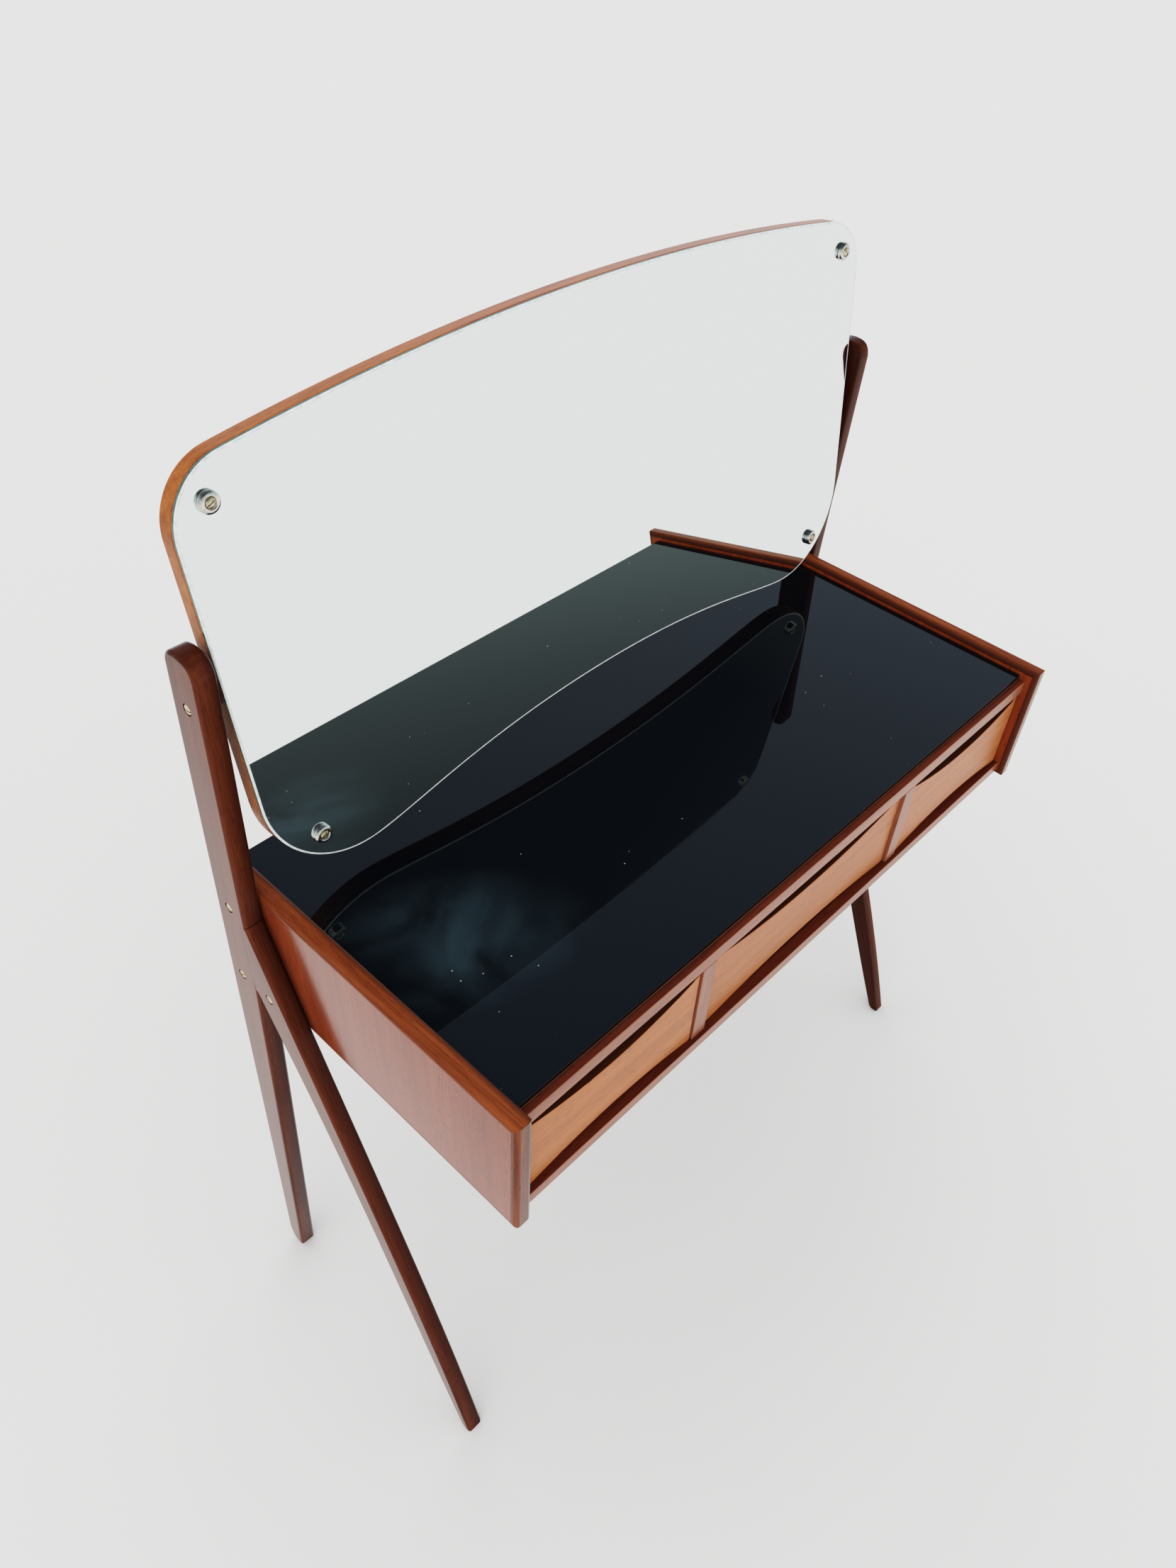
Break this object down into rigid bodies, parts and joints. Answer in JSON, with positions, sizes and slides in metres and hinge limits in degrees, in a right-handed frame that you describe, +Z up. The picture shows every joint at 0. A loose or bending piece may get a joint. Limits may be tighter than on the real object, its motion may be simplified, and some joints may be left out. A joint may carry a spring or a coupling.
{
  "type": "vanity table",
  "caption": "Teak vanity table with a black glass top, shallow bow-tie fronted drawers, splayed screwed-on legs and a tilting mirror held between its rear uprights.",
  "frame": {"origin": "on the floor under the middle of the table's bounding box", "axes": "+X to the right for someone facing the table, +Y to the back, +Z up; the drawers and the glass face -Y"},
  "size_m": [0.9012, 0.411, 1.1727],
  "materials": {
    "leg_teak": "solid teak, dark red-brown, glossy clear lacquer",
    "lipping_teak": "solid teak edging, glossy lacquer",
    "rail_teak": "solid teak, glossy lacquer",
    "panel_veneer": "teak veneer on board, glossy lacquer",
    "front_teak": "teak drawer fronts, satin lacquer, grain running across",
    "board_core": "unfinished blockboard under the glass",
    "back_board": "stained hardboard",
    "drawer_beech": "waxed beech",
    "drawer_ply": "plain plywood",
    "black_glass": "opaque black glass, polished, edges ground",
    "mirror_back_teak": "teak veneered board with a lipped edge, glossy lacquer",
    "mirror_glass": "silvered plate glass with a ground edge",
    "cup_nickel": "nickel-plated turned cup, lightly worn",
    "screw_brass": "slotted raised-head screw, dulled plate over brass",
    "spacer_fibre": "dark pressed-fibre friction spacer"
  },
  "bodies": {
    "frame": {"rear_upright_left": "leg_teak", "front_leg_left": "leg_teak", "case_screw_upper_left": "screw_brass", "case_screw_lower_left": "screw_brass", "case_screw_front_left": "screw_brass", "rear_upright_right": "leg_teak", "front_leg_right": "leg_teak", "case_screw_upper_right": "screw_brass", "case_screw_lower_right": "screw_brass", "case_screw_front_right": "screw_brass", "side_panel_left": "panel_veneer", "top_lipping_left": "lipping_teak", "front_lipping_left": "lipping_teak", "bottom_lipping_left": "lipping_teak", "side_panel_right": "panel_veneer", "top_lipping_right": "lipping_teak", "front_lipping_right": "lipping_teak", "bottom_lipping_right": "lipping_teak", "top_board": "board_core", "glass_top": "black_glass", "top_front_rail": "rail_teak", "bottom_board": "panel_veneer", "bottom_front_rail": "rail_teak", "back_panel": "back_board", "divider_left": "rail_teak", "divider_right": "rail_teak"},
    "mirror": {"mirror_board": "mirror_back_teak", "mirror_glass": "mirror_glass", "cup_washer_upper_left": "cup_nickel", "cup_screw_upper_left": "screw_brass", "cup_washer_upper_right": "cup_nickel", "cup_screw_upper_right": "screw_brass", "cup_washer_lower_left": "cup_nickel", "cup_screw_lower_left": "screw_brass", "cup_washer_lower_right": "cup_nickel", "cup_screw_lower_right": "screw_brass", "pivot_screw_left": "screw_brass", "pivot_spacer_left": "spacer_fibre", "pivot_insert_left": "screw_brass", "pivot_screw_right": "screw_brass", "pivot_spacer_right": "spacer_fibre", "pivot_insert_right": "screw_brass"},
    "drawer_left": {"drawer_front_left": "front_teak", "drawer_side_left_a": "drawer_beech", "drawer_side_left_b": "drawer_beech", "drawer_back_left": "drawer_beech", "drawer_bottom_left": "drawer_ply"},
    "drawer_middle": {"drawer_front_middle": "front_teak", "drawer_side_middle_a": "drawer_beech", "drawer_side_middle_b": "drawer_beech", "drawer_back_middle": "drawer_beech", "drawer_bottom_middle": "drawer_ply"},
    "drawer_right": {"drawer_front_right": "front_teak", "drawer_side_right_a": "drawer_beech", "drawer_side_right_b": "drawer_beech", "drawer_back_right": "drawer_beech", "drawer_bottom_right": "drawer_ply"}
  },
  "joints": [
    {"name": "mirror_tilt", "type": "hinge", "parent": "frame", "child": "mirror", "pos_m": [0, 0.1436, 0.956], "axis": [1, 0, 0], "continuous": true},
    {"name": "drawer_left_slide", "type": "slide", "parent": "frame", "child": "drawer_left", "axis": [0, -1, 0], "range_m": [0, 0.24]},
    {"name": "drawer_middle_slide", "type": "slide", "parent": "frame", "child": "drawer_middle", "axis": [0, -1, 0], "range_m": [0, 0.24]},
    {"name": "drawer_right_slide", "type": "slide", "parent": "frame", "child": "drawer_right", "axis": [0, -1, 0], "range_m": [0, 0.24]}
  ]
}
